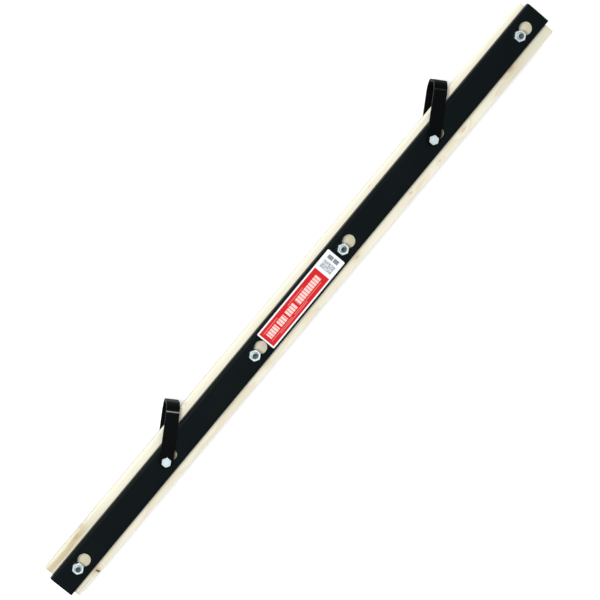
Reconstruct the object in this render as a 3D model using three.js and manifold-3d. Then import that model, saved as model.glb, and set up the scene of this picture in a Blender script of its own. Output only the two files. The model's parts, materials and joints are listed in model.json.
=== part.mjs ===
// Woven wire fence stretcher bar, 1219 mm long.
//
// Two steel channels with a pine jaw board between them grip the cut end of a
// roll of woven wire. Four carriage bolts close the clamp, and two strap bails
// on bolts of their own take the pulling chain. The front channel is keyholed,
// so it slides along the bar once its nuts are slack.
//
// Millimetres. +X runs along the bar, +Z points out of the front channel, and
// +Y is the side that the bails swing to. The origin is the middle of the bar:
// half way along it, on the line of the bolts, at the middle of the jaw board.
import * as THREE from 'three';
import { mergeVertices } from 'three/addons/utils/BufferGeometryUtils.js';
import Module from 'manifold-3d';

const wasm = await Module();
wasm.setup();

// Driving dimensions
const FRONT_CHANNEL_LENGTH = 1219;
const REAR_CHANNEL_LENGTH = 1195;
const CHANNEL_WIDTH = 44.5;
const CHANNEL_DEPTH = 16;
const CHANNEL_GAUGE = 2.8;
const CHANNEL_BEND = 4.6;
const BOARD = { length: 1207, width: 73, thick: 19, corner: 3 };
const BOARD_SKEW = THREE.MathUtils.degToRad(-0.295);
const BOARD_SHIFT_Y = -2.3;
const FIT_GAP = 0.3;

const OUTER_CLAMP_X = 563.5;
const INNER_CLAMP_X = 112.5;
const CLAMP_OFFSET_X = -4;
const CLAMP_X = [-OUTER_CLAMP_X, -INNER_CLAMP_X, INNER_CLAMP_X, OUTER_CLAMP_X].map((x) => x + CLAMP_OFFSET_X);
const BAIL_X = [-342.5, 339.5];
const BAIL_NAMES = ['left', 'right'];

const CLAMP_BOLT = { shank: 11.1, head: 26, headRise: 6.2, neck: 11.1, neckDepth: 7, pastNut: 6.5 };
const CLAMP_NUT = { flats: 17.5, height: 9.6, chamfer: 1.1 };
const CLAMP_SLOT = { width: 12.4, round: 22.2, travel: 16 };
const BAIL_BOLT = { shank: 9.5, flats: 14.3, headRise: 6.2, chamfer: 0.9, pastNut: 2.4 };
const BAIL_NUT = { flats: 14.3, height: 6.4, chamfer: 0.9 };
const BAIL_WASHER = { outer: 20.6, bore: 10.4, thick: 1.6 };
const BAIL_SLOT = { width: 10.6, round: 19, travel: 14 };
const TIP_CHAMFER = 1;
const TAP_GAP = 0.15;

const BAIL = {
  width: 22, gauge: 4.8, reach: 93, bend: 22, lean: THREE.MathUtils.degToRad(-58), slack: 6.6,
};
const LABEL = { length: 182, width: 36, thick: 0.3, x: 2.5, corner: 1.5 };

// Steps that round surfaces are cut into
const SHANK_SIDES = 32;
const KEYHOLE_SIDES = 40;
const CHAMFER_SIDES = 36;
const HEX_SIDES = 6;
const DOME_STEPS = 6;
const BEND_STEPS = 6;
const BAIL_BEND_STEPS = 12;
const END_STEPS = 12;
const CORNER_STEPS = 3;

// Heights of the stack, from the middle of the board outward to either face
const FRONT_FACE_Z = BOARD.thick / 2 + FIT_GAP + CHANNEL_DEPTH;
const REAR_FACE_Z = -FRONT_FACE_Z;
const FRONT_LEG_Z = FRONT_FACE_Z + FIT_GAP;
const BAIL_HEAD_Z = FRONT_LEG_Z + BAIL.gauge + FIT_GAP;
const REAR_LEG_Z = REAR_FACE_Z - BAIL.slack;
const BAIL_BACK_Z = REAR_LEG_Z - BAIL.gauge;
const BAIL_WASHER_Z = BAIL_BACK_Z - FIT_GAP - BAIL_WASHER.thick;
const BAIL_NUT_Z = BAIL_WASHER_Z - FIT_GAP - BAIL_NUT.height;
const CLAMP_NUT_Z = FRONT_FACE_Z + FIT_GAP;
const CLAMP_BOLT_Z = REAR_FACE_Z - FIT_GAP;

const BLACK_PAINT = { color: 0x15191b, roughness: 0.42, metalness: 0.1 };
const STRAP_PAINT = { color: 0x0f1112, roughness: 0.5, metalness: 0.1 };
const ZINC = { color: 0xc9d3d6, roughness: 0.3, metalness: 0.9 };
const PINE = { color: 0xefe3bd, roughness: 0.7, metalness: 0 };
const LABEL_RED = { color: 0xd8232a, roughness: 0.4, metalness: 0 };

// Solids from three.js geometry

function toManifold(geometry) {
  const bare = geometry.clone();
  bare.deleteAttribute('normal');
  bare.deleteAttribute('uv');
  const merged = mergeVertices(bare, 1e-5);
  return new wasm.Manifold(new wasm.Mesh({
    numProp: 3,
    vertProperties: new Float32Array(merged.attributes.position.array),
    triVerts: new Uint32Array(merged.index.array),
  }));
}

function toGeometry(manifold) {
  const mesh = manifold.getMesh();
  const geometry = new THREE.BufferGeometry();
  geometry.setAttribute('position', new THREE.BufferAttribute(mesh.vertProperties, mesh.numProp));
  geometry.setIndex(new THREE.BufferAttribute(mesh.triVerts, 1));
  return geometry;
}

function cutFrom(geometry, cutters) {
  let solid = toManifold(geometry);
  for (const cutter of cutters) {
    solid = solid.subtract(toManifold(cutter));
  }
  return toGeometry(solid);
}

function extrudeUp(shape, height, curveSegments) {
  return new THREE.ExtrudeGeometry(shape, { depth: height, bevelEnabled: false, curveSegments });
}

function cylinderUp(diameter, height, sides = SHANK_SIDES) {
  const cylinder = new THREE.CylinderGeometry(diameter / 2, diameter / 2, height, sides);
  return cylinder.rotateX(Math.PI / 2).translate(0, 0, height / 2);
}

function roundedRect(length, width, corner) {
  const [x, y] = [length / 2, width / 2];
  const shape = new THREE.Shape();
  shape.moveTo(-x + corner, -y);
  shape.lineTo(x - corner, -y);
  shape.absarc(x - corner, -y + corner, corner, -Math.PI / 2, 0);
  shape.lineTo(x, y - corner);
  shape.absarc(x - corner, y - corner, corner, 0, Math.PI / 2);
  shape.lineTo(-x + corner, y);
  shape.absarc(-x + corner, y - corner, corner, Math.PI / 2, Math.PI);
  shape.lineTo(-x, -y + corner);
  shape.absarc(-x + corner, -y + corner, corner, Math.PI, 1.5 * Math.PI);
  return shape;
}

// A hexagon with two corners on the Y axis. Its top edge is chamfered, and its bottom edge too if asked
function hexBlock(flats, height, chamfer, bothEnds) {
  const corners = flats / Math.sqrt(3);
  const prism = new THREE.CylinderGeometry(corners, corners, height, HEX_SIDES).rotateX(Math.PI / 2);
  prism.translate(0, 0, height / 2);
  const rise = (2 * chamfer) / Math.sqrt(3);
  const wide = corners + chamfer;
  const narrow = corners - chamfer;
  const below = -height;
  const bottom = bothEnds ? [[0, 0], [narrow, 0], [wide, rise]] : [[0, below], [wide, below]];
  const outline = [...bottom, [wide, height - rise], [narrow, height], [0, height]];
  const profile = outline.map(([radius, z]) => new THREE.Vector2(radius, z));
  const cone = new THREE.LatheGeometry(profile, CHAMFER_SIDES).rotateX(Math.PI / 2);
  return toManifold(prism).intersect(toManifold(cone));
}

// A hex nut chamfered at both ends, its bore clear of the shank by TAP_GAP all round
function hexNut(nut, shank) {
  const bore = cylinderUp(shank + 2 * TAP_GAP, 2 * nut.height).translate(0, 0, -nut.height / 2);
  return toGeometry(hexBlock(nut.flats, nut.height, nut.chamfer, true).subtract(toManifold(bore)));
}

// Steel channels

// Section of the channel in its own frame: outer face on z = 0, flanges reaching up to CHANNEL_DEPTH
function channelSection() {
  const half = CHANNEL_WIDTH / 2;
  const inner = half - CHANNEL_GAUGE;
  const innerBend = CHANNEL_BEND - CHANNEL_GAUGE;
  const section = new THREE.Shape();
  section.moveTo(-half + CHANNEL_BEND, 0);
  section.lineTo(half - CHANNEL_BEND, 0);
  section.absarc(half - CHANNEL_BEND, CHANNEL_BEND, CHANNEL_BEND, -Math.PI / 2, 0);
  section.lineTo(half, CHANNEL_DEPTH);
  section.lineTo(inner, CHANNEL_DEPTH);
  section.lineTo(inner, CHANNEL_BEND);
  section.absarc(half - CHANNEL_BEND, CHANNEL_BEND, innerBend, 0, -Math.PI / 2, true);
  section.lineTo(-half + CHANNEL_BEND, CHANNEL_GAUGE);
  section.absarc(-half + CHANNEL_BEND, CHANNEL_BEND, innerBend, -Math.PI / 2, -Math.PI, true);
  section.lineTo(-inner, CHANNEL_DEPTH);
  section.lineTo(-half, CHANNEL_DEPTH);
  section.lineTo(-half, CHANNEL_BEND);
  section.absarc(-half + CHANNEL_BEND, CHANNEL_BEND, CHANNEL_BEND, Math.PI, 1.5 * Math.PI);
  return section;
}

// A channel lying along X with its outer face down on z = 0
function channelBlank(length) {
  const blank = extrudeUp(channelSection(), length, BEND_STEPS);
  blank.rotateX(Math.PI / 2);
  blank.rotateZ(Math.PI / 2);
  return blank.translate(-length / 2, 0, 0);
}

// A slot along +X from the bolt at x, opening into a round hole that its nut or head passes through
function keyholeCutter(x, slot) {
  const height = 3 * CHANNEL_GAUGE;
  const half = slot.width / 2;
  const outline = new THREE.Shape();
  outline.moveTo(0, -half);
  outline.lineTo(slot.travel, -half);
  outline.lineTo(slot.travel, half);
  outline.lineTo(0, half);
  outline.absarc(0, 0, half, Math.PI / 2, 1.5 * Math.PI);
  const narrow = toManifold(extrudeUp(outline, height, END_STEPS));
  const round = toManifold(cylinderUp(slot.round, height, KEYHOLE_SIDES).translate(slot.travel, 0, 0));
  return toGeometry(narrow.add(round)).translate(x, 0, -CHANNEL_GAUGE);
}

function rearChannel() {
  const square = CLAMP_BOLT.neck + 2 * FIT_GAP;
  const punch = new THREE.BoxGeometry(square, square, 4 * CHANNEL_GAUGE);
  const cutters = CLAMP_X.map((x) => punch.clone().translate(x, 0, 0));
  for (const x of BAIL_X) {
    cutters.push(cylinderUp(BAIL_SLOT.width, 3 * CHANNEL_GAUGE).translate(x, 0, -CHANNEL_GAUGE));
  }
  return cutFrom(channelBlank(REAR_CHANNEL_LENGTH), cutters);
}

// The front channel is the same pressing turned over, so its keyholes are cut before it is turned
function frontChannel() {
  const cutters = CLAMP_X.map((x) => keyholeCutter(x, CLAMP_SLOT));
  for (const x of BAIL_X) {
    cutters.push(keyholeCutter(x, BAIL_SLOT));
  }
  return cutFrom(channelBlank(FRONT_CHANNEL_LENGTH), cutters).rotateX(Math.PI);
}

// Jaw board

function jawBoard() {
  const slab = extrudeUp(roundedRect(BOARD.length, BOARD.width, BOARD.corner), BOARD.thick, CORNER_STEPS);
  slab.translate(0, 0, -BOARD.thick / 2).rotateZ(BOARD_SKEW).translate(0, BOARD_SHIFT_Y, 0);
  const bores = [...CLAMP_X.map((x) => [x, CLAMP_SLOT.width]), ...BAIL_X.map((x) => [x, BAIL_SLOT.width])];
  const cutters = bores.map(([x, width]) => cylinderUp(width, 2 * BOARD.thick).translate(x, 0, -BOARD.thick));
  return cutFrom(slab, cutters);
}

// Bolts and washers

// Carriage bolt, its square neck held by the rear channel. Built with z = 0 on the seat of its head
function clampBolt() {
  const radius = CLAMP_BOLT.head / 2;
  const tip = CLAMP_NUT_Z - CLAMP_BOLT_Z + CLAMP_NUT.height + CLAMP_BOLT.pastNut;
  const shank = CLAMP_BOLT.shank / 2;
  const profile = [];
  for (let i = 0; i <= DOME_STEPS; i += 1) {
    const angle = (i / DOME_STEPS) * (Math.PI / 2);
    profile.push(new THREE.Vector2(radius * Math.sin(angle), -CLAMP_BOLT.headRise * Math.cos(angle)));
  }
  profile.push(new THREE.Vector2(shank, 0));
  profile.push(new THREE.Vector2(shank, tip - TIP_CHAMFER));
  profile.push(new THREE.Vector2(shank - TIP_CHAMFER, tip));
  profile.push(new THREE.Vector2(0, tip));
  const turned = toManifold(new THREE.LatheGeometry(profile, SHANK_SIDES).rotateX(Math.PI / 2));
  const neckRoot = CLAMP_BOLT.headRise / 4;
  const neck = new THREE.BoxGeometry(CLAMP_BOLT.neck, CLAMP_BOLT.neck, CLAMP_BOLT.neckDepth);
  neck.translate(0, 0, CLAMP_BOLT.neckDepth / 2 - neckRoot);
  return toGeometry(turned.add(toManifold(neck)));
}

// Bail bolt, built with z = 0 on the seat of its head
function bailBolt() {
  const head = hexBlock(BAIL_BOLT.flats, BAIL_BOLT.headRise, BAIL_BOLT.chamfer, false);
  const drop = BAIL_HEAD_Z - BAIL_NUT_Z + BAIL_BOLT.pastNut;
  const radius = BAIL_BOLT.shank / 2;
  const profile = [
    new THREE.Vector2(0, -drop),
    new THREE.Vector2(radius - TIP_CHAMFER, -drop),
    new THREE.Vector2(radius, TIP_CHAMFER - drop),
    new THREE.Vector2(radius, BAIL_BOLT.headRise / 2),
    new THREE.Vector2(0, BAIL_BOLT.headRise / 2),
  ];
  const shank = new THREE.LatheGeometry(profile, SHANK_SIDES).rotateX(Math.PI / 2);
  return toGeometry(head.add(toManifold(shank)));
}

function bailWasher() {
  const bore = cylinderUp(BAIL_WASHER.bore, 3 * BAIL_WASHER.thick).translate(0, 0, -BAIL_WASHER.thick);
  return cutFrom(cylinderUp(BAIL_WASHER.outer, BAIL_WASHER.thick), [bore]);
}

// Bail: flat strap bent into a round-cornered U, its legs eyed at the ends. Built upright in its own frame,
// with the pivot on the Z axis, the legs reaching along +Y and z = 0 at the rear leg's outer face
function bail() {
  const height = FRONT_LEG_Z + BAIL.gauge - BAIL_BACK_Z;
  const inner = BAIL.bend - BAIL.gauge;
  const web = BAIL.reach + BAIL.gauge;
  const eyeBack = -BAIL.width / 2;
  const outline = new THREE.Shape();
  outline.moveTo(eyeBack, 0);
  outline.lineTo(web - BAIL.bend, 0);
  outline.absarc(web - BAIL.bend, BAIL.bend, BAIL.bend, -Math.PI / 2, 0);
  outline.lineTo(web, height - BAIL.bend);
  outline.absarc(web - BAIL.bend, height - BAIL.bend, BAIL.bend, 0, Math.PI / 2);
  outline.lineTo(eyeBack, height);
  outline.lineTo(eyeBack, height - BAIL.gauge);
  outline.lineTo(web - BAIL.bend, height - BAIL.gauge);
  outline.absarc(web - BAIL.bend, height - BAIL.bend, inner, Math.PI / 2, 0, true);
  outline.lineTo(BAIL.reach, BAIL.bend);
  outline.absarc(web - BAIL.bend, BAIL.bend, inner, 0, -Math.PI / 2, true);
  outline.lineTo(eyeBack, BAIL.gauge);
  const side = extrudeUp(outline, BAIL.width, BAIL_BEND_STEPS);
  side.rotateX(Math.PI / 2);
  side.rotateZ(Math.PI / 2);
  side.translate(-BAIL.width / 2, 0, 0);

  const plan = new THREE.Shape();
  const half = BAIL.width / 2;
  plan.moveTo(half, 0);
  plan.lineTo(half, web + BAIL.gauge);
  plan.lineTo(-half, web + BAIL.gauge);
  plan.lineTo(-half, 0);
  plan.absarc(0, 0, half, Math.PI, 2 * Math.PI);
  const trim = extrudeUp(plan, height, END_STEPS);
  const eye = cylinderUp(BAIL_BOLT.shank + 4 * FIT_GAP, 2 * height).translate(0, 0, -height / 2);
  const solid = toManifold(side).intersect(toManifold(trim)).subtract(toManifold(eye));
  return toGeometry(solid);
}

function label() {
  return extrudeUp(roundedRect(LABEL.length, LABEL.width, LABEL.corner), LABEL.thick, CORNER_STEPS);
}

// Assembly

function piece(name, geometry, look, x = 0, z = 0) {
  const mesh = new THREE.Mesh(geometry, new THREE.MeshStandardMaterial(look));
  mesh.name = name;
  mesh.position.set(x, 0, z);
  return mesh;
}

const stretcher = new THREE.Group();
stretcher.add(piece('rear_channel', rearChannel(), BLACK_PAINT, 0, REAR_FACE_Z));
stretcher.add(piece('jaw_board', jawBoard(), PINE));
stretcher.add(piece('front_channel', frontChannel(), BLACK_PAINT, 0, FRONT_FACE_Z));
stretcher.add(piece('label', label(), LABEL_RED, LABEL.x, FRONT_FACE_Z + FIT_GAP));

CLAMP_X.forEach((x, i) => {
  stretcher.add(piece(`clamp_bolt_${i + 1}`, clampBolt(), ZINC, x, CLAMP_BOLT_Z));
  stretcher.add(piece(`clamp_nut_${i + 1}`, hexNut(CLAMP_NUT, CLAMP_BOLT.shank), ZINC, x, CLAMP_NUT_Z));
});

BAIL_X.forEach((x, i) => {
  const strap = piece(`bail_${BAIL_NAMES[i]}`, bail(), STRAP_PAINT, x, BAIL_BACK_Z);
  strap.rotation.z = BAIL.lean;
  stretcher.add(strap);
  stretcher.add(piece(`bail_bolt_${BAIL_NAMES[i]}`, bailBolt(), ZINC, x, BAIL_HEAD_Z));
  stretcher.add(piece(`bail_washer_${BAIL_NAMES[i]}`, bailWasher(), ZINC, x, BAIL_WASHER_Z));
  const nut = hexNut(BAIL_NUT, BAIL_BOLT.shank);
  stretcher.add(piece(`bail_nut_${BAIL_NAMES[i]}`, nut, ZINC, x, BAIL_NUT_Z));
});

export default stretcher;
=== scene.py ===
"""Finished looks of a woven wire fence stretcher bar, built around its fixed working frame."""
import json
import math

import bmesh
import bpy
from bpy.props import FloatProperty, FloatVectorProperty, IntProperty, PointerProperty
from mathutils import Matrix, Vector, noise


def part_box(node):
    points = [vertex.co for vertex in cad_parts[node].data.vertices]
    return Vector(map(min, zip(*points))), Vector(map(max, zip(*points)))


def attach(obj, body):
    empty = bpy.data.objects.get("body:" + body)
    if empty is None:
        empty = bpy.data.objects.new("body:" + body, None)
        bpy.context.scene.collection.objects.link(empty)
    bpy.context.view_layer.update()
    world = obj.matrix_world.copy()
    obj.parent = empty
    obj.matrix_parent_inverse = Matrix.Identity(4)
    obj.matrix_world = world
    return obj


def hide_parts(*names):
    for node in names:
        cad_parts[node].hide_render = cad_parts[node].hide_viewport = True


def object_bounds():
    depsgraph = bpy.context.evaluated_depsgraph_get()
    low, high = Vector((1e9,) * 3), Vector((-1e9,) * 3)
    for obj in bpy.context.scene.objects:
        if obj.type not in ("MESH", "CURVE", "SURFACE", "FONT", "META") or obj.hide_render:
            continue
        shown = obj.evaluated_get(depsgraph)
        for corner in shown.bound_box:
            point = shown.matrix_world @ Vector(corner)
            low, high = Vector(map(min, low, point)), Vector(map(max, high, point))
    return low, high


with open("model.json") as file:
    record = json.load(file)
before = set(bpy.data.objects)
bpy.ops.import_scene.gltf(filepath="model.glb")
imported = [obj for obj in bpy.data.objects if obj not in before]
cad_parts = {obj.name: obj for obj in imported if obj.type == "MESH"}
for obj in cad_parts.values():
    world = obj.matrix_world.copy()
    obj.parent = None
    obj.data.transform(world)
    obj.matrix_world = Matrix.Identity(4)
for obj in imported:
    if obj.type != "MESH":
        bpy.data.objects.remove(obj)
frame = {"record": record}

bl_info = {
    "name": "Fence Stretcher Bar",
    "version": (1, 0, 0),
    "blender": (4, 5, 0),
    "location": "3D View > Sidebar > Stretcher",
    "description": "Builds the finished pieces of a woven wire fence stretcher bar",
    "category": "Object",
}

CAD_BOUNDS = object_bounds()
MM = 0.001
CLAMP_NUMBERS = (1, 2, 3, 4)
BAIL_SIDES = ("left", "right")


def middle(node):
    """The middle of a node of the frame, in metres."""
    low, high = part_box(node)
    return (low + high) / 2


FRONT_LOW, FRONT_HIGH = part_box("front_channel")
REAR_LOW, REAR_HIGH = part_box("rear_channel")
BOARD_LOW, BOARD_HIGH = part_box("jaw_board")
CLAMP_X = [middle(f"clamp_bolt_{number}").x for number in CLAMP_NUMBERS]
BAIL_X = [middle(f"bail_bolt_{side}").x for side in BAIL_SIDES]
FRONT_FACE_Z = FRONT_HIGH.z
FRONT_LENGTH = FRONT_HIGH.x - FRONT_LOW.x
REAR_LENGTH = REAR_HIGH.x - REAR_LOW.x
CHANNEL_WIDTH = FRONT_HIGH.y - FRONT_LOW.y
CHANNEL_DEPTH = FRONT_HIGH.z - FRONT_LOW.z
BOARD_THICK = BOARD_HIGH.z - BOARD_LOW.z


# -------- settings

def in_mm(name, description, millimetres):
    """A length setting: given in millimetres, kept in metres."""
    return FloatProperty(name=name, description=description, default=millimetres * MM, unit="LENGTH")


def in_degrees(name, description, degrees):
    """An angle setting: given in degrees, kept in radians."""
    return FloatProperty(name=name, description=description, default=math.radians(degrees), unit="ROTATION")


def tint(name, description, default):
    """A colour setting."""
    return FloatVectorProperty(
        name=name, description=description, default=default, subtype="COLOR", size=3, min=0, max=1)


class ChannelSettings(bpy.types.PropertyGroup):
    """The two pressed steel channels."""
    gauge: in_mm("Gauge", "Thickness of the steel", 2.8)
    bend: in_mm("Bend", "Outside radius of the two bends", 4.6)
    edge: in_mm("Edge", "Rounding of sheared and punched edges", 0.45)
    slot_width: in_mm("Clamp slot", "Width of a clamp keyhole's narrow end", 12.4)
    slot_round: in_mm("Clamp hole", "Diameter of a clamp keyhole's round end", 22.2)
    slot_travel: in_mm("Clamp travel", "Distance between a clamp keyhole's ends", 16)
    bail_width: in_mm("Bail slot", "Width of a bail keyhole's narrow end", 10.6)
    bail_round: in_mm("Bail hole", "Diameter of a bail keyhole's round end", 19)
    bail_travel: in_mm("Bail travel", "Distance between a bail keyhole's ends", 14)
    neck_hole: in_mm("Neck hole", "Side of a square hole in the rear channel", 11.7)
    paint: tint("Paint", "Colour of the channel enamel", (0.0014, 0.0038, 0.0043))


class BoardSettings(bpy.types.PropertyGroup):
    """The pine jaw board."""
    length: in_mm("Length", "Length of the board", 1207)
    width: in_mm("Width", "Width of the board", 73)
    skew: in_degrees("Skew", "Turn of the board against the channels", -0.295)
    shift: in_mm("Shift", "Offset of the board across the channels", -2.3)
    eased: in_mm("Eased edge", "Radius of the long edges", 1.5)
    ring_spacing: in_mm("Ring spacing", "Growth ring spacing", 4.2)
    early_wood: tint("Early wood", "Colour between the rings", (0.77, 0.735, 0.60))
    late_wood: tint("Late wood", "Colour of the rings", (0.62, 0.51, 0.32))
    knot: tint("Knot", "Colour of the knots", (0.30, 0.15, 0.06))


class HardwareSettings(bpy.types.PropertyGroup):
    """Bolts, nuts and washers."""
    clamp_pitch: in_mm("Clamp pitch", "Thread pitch of the clamp bolts", 25.4 / 14)
    clamp_shank: in_mm("Clamp shank", "Radius of the clamp bolts", 5.5)
    clamp_thread: in_mm("Clamp thread", "Threaded length of the clamp bolts", 38)
    clamp_bore: in_mm("Clamp bore", "Radius of the clamp nuts' bore", 5.7)
    bail_pitch: in_mm("Bail pitch", "Thread pitch of the bail bolts", 25.4 / 16)
    bail_shank: in_mm("Bail shank", "Radius of the bail bolts", 4.7)
    bail_thread: in_mm("Bail thread", "Threaded length of the bail bolts", 34)
    bail_bore: in_mm("Bail bore", "Radius of the bail nuts' bore", 4.9)
    washer_bore: in_mm("Washer bore", "Radius of the washers' bore", 5.2)
    facets: IntProperty(name="Facets", description="Steps round a bolt or a nut", default=72, min=24)
    zinc: tint("Zinc", "Colour of the plating", (0.62, 0.72, 0.74))


class BailSettings(bpy.types.PropertyGroup):
    """The two strap bails."""
    width: in_mm("Width", "Width of the strap", 22)
    gauge: in_mm("Gauge", "Thickness of the strap", 4.8)
    reach: in_mm("Reach", "Pivot to the inner face of the cross strap", 93)
    bend: in_mm("Bend", "Outside radius of a bend", 22)
    lean: in_degrees("Lean", "Turn of a resting bail from square across the bar", -58)
    eye: in_mm("Eye", "Diameter of the bolt hole", 10.7)
    edge: in_mm("Edge", "Rounding of the strap's edges", 0.9)
    # Painted glint: the distance from the outermost edge to the line of bare steel that stands in for a
    # highlight.
    glint_reach: in_mm("Rub", "Outermost edge to the line rubbed bare", 14.6)
    paint: tint("Paint", "Colour of the strap enamel", (0.0008, 0.0012, 0.0016))


class LabelSettings(bpy.types.PropertyGroup):
    """The printed film label."""
    corner: in_mm("Corner", "Corner radius", 1.5)
    film: in_mm("Film", "Thickness of the film", 0.16)
    border: in_mm("Border", "Width of the white border", 2.6)
    panel: in_mm("Panel", "Length of the white panel at the end", 37)
    red: tint("Red", "Colour of the printed field", (0.56, 0.006, 0.010))
    white: tint("White", "Colour of the film", (0.74, 0.77, 0.80))


class StageSettings(bpy.types.PropertyGroup):
    """Floor, lights and camera."""
    floor: tint("Floor", "Colour of the floor", (0.90, 0.90, 0.89))
    distance: in_mm("Distance", "Camera to the front channel", 4500)
    lens: FloatProperty(name="Lens", description="Focal length in millimetres", default=165.6, min=20)
    tilt: in_degrees("Tilt", "Turn of the view from square on, toward the bails", 10)
    roll: in_degrees("Roll", "Slope of the bar across the picture", 50.3)


GROUPS = {
    "stretcher_channel": ChannelSettings,
    "stretcher_board": BoardSettings,
    "stretcher_hardware": HardwareSettings,
    "stretcher_bail": BailSettings,
    "stretcher_label": LabelSettings,
    "stretcher_stage": StageSettings,
}


# -------- shaders

class Socket:
    """A node's output that Python arithmetic works on: each operator adds a Math node."""

    def __init__(self, shade, output):
        self.shade = shade
        self.output = output

    def math(self, operation, *others):
        return self.shade.node("ShaderNodeMath", {"operation": operation}, dict(enumerate((self, *others))))

    def __add__(self, other):
        return self.math("ADD", other)

    __radd__ = __add__

    def __sub__(self, other):
        return self.math("SUBTRACT", other)

    def __rsub__(self, other):
        return self.shade.number(other).math("SUBTRACT", self)

    def __mul__(self, other):
        return self.math("MULTIPLY", other)

    __rmul__ = __mul__

    def __truediv__(self, other):
        return self.math("DIVIDE", other)

    def __neg__(self):
        return self.math("MULTIPLY", -1.0)

    def __abs__(self):
        return self.math("ABSOLUTE")

    def ramp(self, low, high):
        """Nought below low and one above high, with a smooth step between; low may be the larger."""
        return self.shade.node(
            "ShaderNodeMapRange", {"interpolation_type": "SMOOTHSTEP"}, {0: self, 1: low, 2: high})


class Shade:
    """One material: its node tree, and the few ways that nodes are added to it."""

    def __init__(self, name):
        self.material = bpy.data.materials.new(name)
        self.material.use_nodes = True
        self.tree = self.material.node_tree
        self.surface = self.tree.nodes["Principled BSDF"]

    def node(self, kind, settings=None, values=None, output=0):
        """Adds a node, sets its settings, then feeds its sockets with values or links."""
        made = self.tree.nodes.new(kind)
        for name, setting in (settings or {}).items():
            setattr(made, name, setting)
        for name, value in (values or {}).items():
            self.feed(made.inputs[name], value)
        return Socket(self, made.outputs[output])

    def feed(self, target, value):
        if isinstance(value, Socket):
            self.tree.links.new(value.output, target)
        elif target.type == "RGBA":
            target.default_value = (*value, 1)
        else:
            target.default_value = value

    def number(self, value):
        return self.node("ShaderNodeMath", {"operation": "ADD"}, {0: value, 1: 0.0})

    def place(self):
        """Object coordinates in millimetres."""
        raw = self.node("ShaderNodeTexCoord", output="Object")
        return self.vector("MULTIPLY", raw, (1000, 1000, 1000))

    def split(self, place):
        return [self.node("ShaderNodeSeparateXYZ", values={0: place}, output=axis) for axis in "XYZ"]

    def vector(self, operation, first, second):
        return self.node("ShaderNodeVectorMath", {"operation": operation}, {0: first, 1: second})

    def noise(self, place, scale, detail=3.0, rough=0.55):
        """Noise at place. A scale of three numbers stretches it along the axes."""
        if isinstance(scale, tuple):
            place, scale = self.vector("MULTIPLY", place, scale), 1.0
        values = {"Vector": place, "Scale": scale, "Detail": detail, "Roughness": rough}
        return self.node("ShaderNodeTexNoise", values=values)

    def mix(self, factor, first, second):
        return self.node("ShaderNodeMix", {"data_type": "RGBA"}, {0: factor, 6: first, 7: second}, output=2)

    def layer(self, colour, *layers):
        """Lays each mask's colour over what is under it."""
        for mask, over in layers:
            colour = self.mix(mask, colour, over)
        return colour

    def attribute(self, name):
        return self.node("ShaderNodeAttribute", {"attribute_name": name}, output="Fac")

    def bump(self, height, distance, strength):
        values = {"Strength": strength, "Distance": distance, "Height": height}
        return self.node("ShaderNodeBump", values=values)

    def finish(self, **sockets):
        """Feeds the surface's sockets: an underscore in a name stands for a space."""
        for name, value in sockets.items():
            self.feed(self.surface.inputs[name.replace("_", " ")], value)
        return self.material


def enamel(name, colour, gloss, sheen, chips, seed):
    """Satin black enamel on steel: orange peel, faint dust and rubs, chips along its edges, and a painted
    glint of bare steel on a bail's bend.
    """
    shade = Shade(name)
    place = shade.place()
    moved = shade.vector("ADD", place, (seed, 2 * seed, 0))
    cloud = shade.noise(moved, 0.012, detail=4)
    mottle = shade.noise(moved, 0.35, detail=5)
    stretched = shade.vector("MULTIPLY", place, (0.05, 1.1, 1.1))
    rubs = shade.noise(shade.vector("ADD", stretched, (0, seed, 0)), 1.0, detail=4, rough=0.7)
    rub_mask = rubs.ramp(0.68, 0.84) * cloud.ramp(0.45, 0.65)
    dust = cloud.ramp(0.45, 0.75) * mottle.ramp(0.35, 0.7)
    edge = shade.attribute("edge")
    flake = shade.noise(moved, 0.55, detail=6, rough=0.7)
    # Painted glint: the bails' line of bare steel, standing in for a highlight on the bend, joins the real
    # chips.
    bare = shade.attribute("bare") * flake.ramp(0.30, 0.46)
    chips_and_glint = (edge * flake).ramp(1 - chips, 1.04 - chips).math("MAXIMUM", bare)
    rim = edge.ramp(0.2, 0.9)
    worn = tuple(2.6 * part + 0.003 for part in colour)
    coat = shade.layer(
        colour,
        (dust * 0.12, (0.022, 0.021, 0.019)),
        (rub_mask * 0.18, (0.028, 0.030, 0.031)),
        (rim * 0.22, worn),
    )
    steel = shade.mix(flake, (0.24, 0.23, 0.22), (0.42, 0.42, 0.42))
    peel = shade.noise(moved, 0.42, detail=2)
    wave = shade.noise(moved, 0.03, detail=2)
    height = peel * 0.5 + wave * 4.0 - chips_and_glint * 0.8 + rub_mask * 0.1
    return shade.finish(
        Base_Color=shade.mix(chips_and_glint, coat, steel),
        Metallic=chips_and_glint * 0.8,
        Roughness=gloss + mottle * 0.10 + dust * 0.12 + rub_mask * 0.05 + chips_and_glint * 0.05,
        Normal=shade.bump(height, 0.06 * MM, 0.45),
        Specular_IOR_Level=sheen,
    )


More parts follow.
